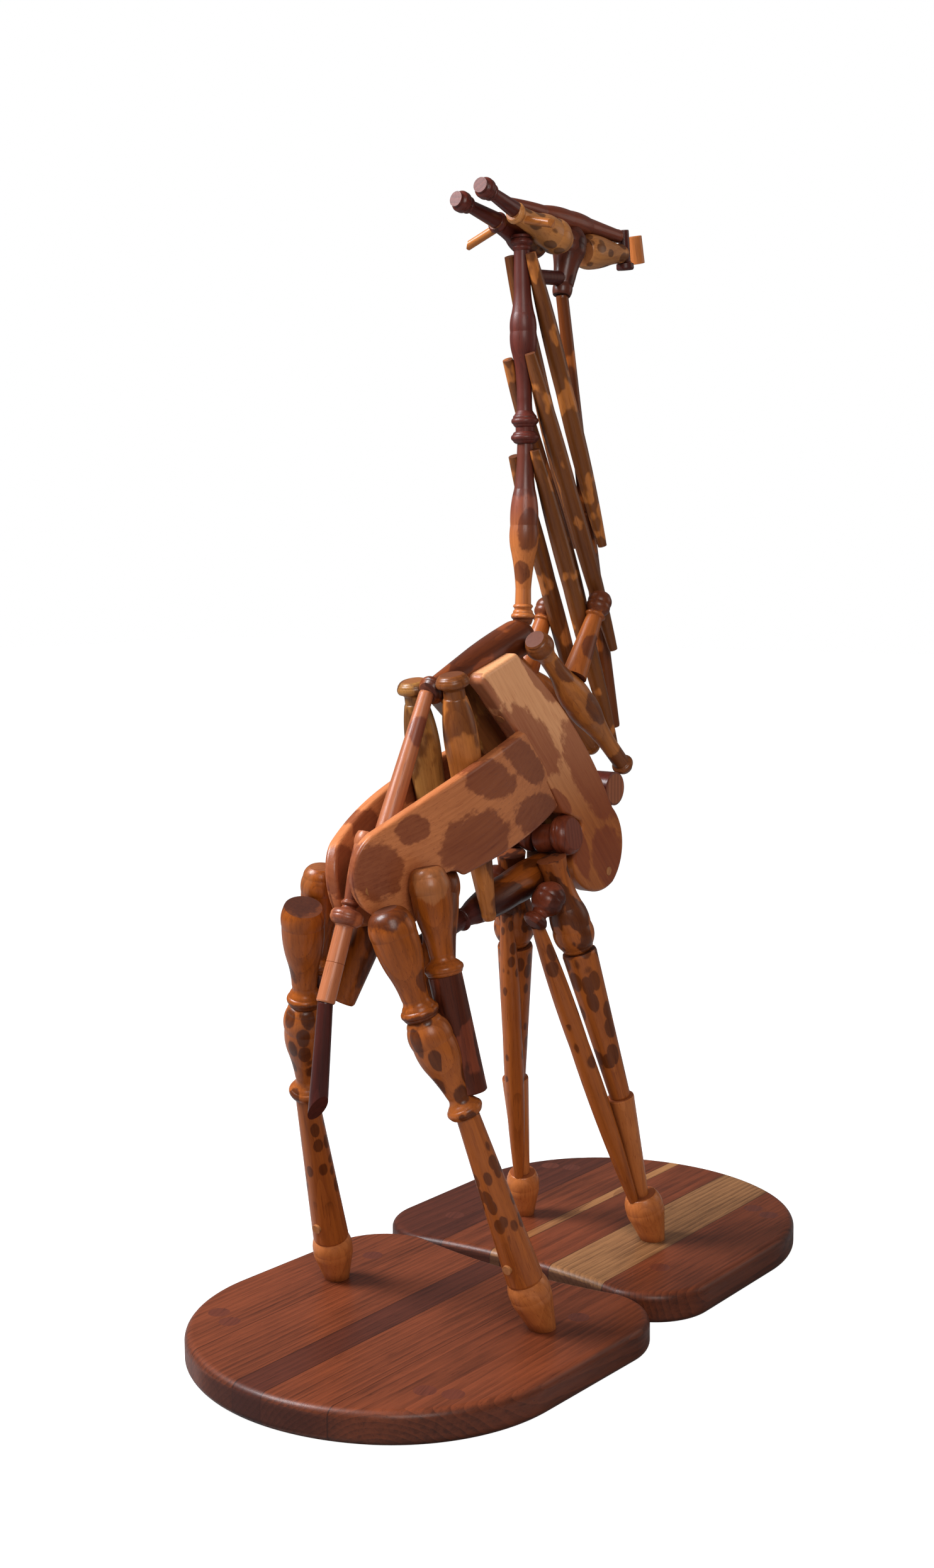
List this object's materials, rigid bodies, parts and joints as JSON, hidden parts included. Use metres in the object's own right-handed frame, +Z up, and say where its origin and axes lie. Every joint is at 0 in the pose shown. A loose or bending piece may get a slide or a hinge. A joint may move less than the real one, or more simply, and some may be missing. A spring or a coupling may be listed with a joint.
{
  "type": "giraffe statue",
  "caption": "Standing giraffe sculpture assembled from turned chair legs, spindles, knobs and curved rails, mounted on two rounded wooden seat boards",
  "frame": {"origin": "on the floor, half way between the two boards, on the line that the head faces along", "axes": "+X is the way the giraffe looks, +Y is its left side, +Z is up"},
  "size_m": [0.9169, 0.4689, 1.3148],
  "materials": {
    "belly_bar": "satin oiled, stained patches",
    "breast": "satin oiled, stained patches",
    "brow": "satin oiled, stained patches",
    "cannon": "satin oiled, stained patches",
    "cheek": "satin oiled, stained patches",
    "chest_bar": "satin oiled, stained patches",
    "chest_peg": "satin oiled, stained patches",
    "ear": "satin oiled, stained patches",
    "elbow_finial": "satin oiled, stained patches",
    "foot": "satin oiled, stained patches",
    "haunch": "satin oiled, stained patches",
    "haunch_rod": "satin oiled, stained patches",
    "head_post": "satin oiled, stained patches",
    "hidden_dowel": "satin oiled, stained patches",
    "horn": "satin oiled, stained patches",
    "inner_thigh": "satin oiled, stained patches",
    "jaw": "satin oiled, stained patches",
    "neck_post": "satin oiled, stained patches",
    "neck_post_lower": "satin oiled, stained patches",
    "neck_rod": "satin oiled, stained patches",
    "nose_block": "satin oiled, stained patches",
    "nose_tip": "satin oiled, stained patches",
    "pale_plug": "satin oiled, stained patches",
    "patched_board": "satin oiled, stained patches",
    "rib": "satin oiled, stained patches",
    "rump_rod": "satin oiled, stained patches",
    "seat_board": "satin oiled plank, dark",
    "shin": "satin oiled, stained patches",
    "spotted_leg": "satin oiled, stained patches",
    "steel": "plain",
    "tail": "satin oiled, stained patches",
    "tail_tip": "satin oiled, stained patches",
    "thigh": "satin oiled, stained patches",
    "throat_rod": "satin oiled, stained patches",
    "upper_arm": "satin oiled, stained patches",
    "withers": "satin oiled, stained patches"
  },
  "bodies": {
    "root": {"belly_bar": "belly_bar", "board_plugs": "pale_plug", "breast_finials": "breast", "breast_spindles": "breast", "brow_spindle": "brow", "cheeks": "cheek", "chest_bar": "chest_bar", "chest_pegs": "chest_peg", "ears": "ear", "elbow_finials": "elbow_finial", "frame_screws": "steel", "front_board": "seat_board", "head_post": "head_post", "hind_board": "seat_board", "hip_spreader": "belly_bar", "horns": "horn", "inner_thighs": "inner_thigh", "jaw_spindle": "jaw", "joint_dowels": "hidden_dowel", "left_cannon": "cannon", "left_elbow_rod": "spotted_leg", "left_flank_board": "patched_board", "left_fore_foot": "foot", "left_forearm": "spotted_leg", "left_gaskin": "spotted_leg", "left_haunch": "haunch", "left_haunch_rod": "haunch_rod", "left_hind_foot": "foot", "left_shin": "shin", "left_shoulder_board": "patched_board", "left_thigh": "thigh", "left_upper_arm": "upper_arm", "lower_neck_rods": "neck_rod", "middle_neck_rods": "neck_rod", "neck_cross_dowel": "throat_rod", "neck_post_lower": "neck_post_lower", "neck_post_upper": "neck_post", "nose_block": "nose_block", "nose_tip": "nose_tip", "ribs": "rib", "right_cannon": "cannon", "right_elbow_rod": "spotted_leg", "right_flank_board": "patched_board", "right_fore_foot": "foot", "right_forearm": "spotted_leg", "right_gaskin": "spotted_leg", "right_haunch": "haunch", "right_haunch_rod": "haunch_rod", "right_hind_foot": "foot", "right_shin": "shin", "right_shoulder_board": "patched_board", "right_thigh": "thigh", "right_upper_arm": "upper_arm", "rump_rod": "rump_rod", "screw_plugs": "pale_plug", "tail_spindle": "tail", "tail_tip": "tail_tip", "throat_rods": "throat_rod", "upper_neck_rods": "neck_rod", "withers_spindle": "withers"}
  },
  "joints": []
}
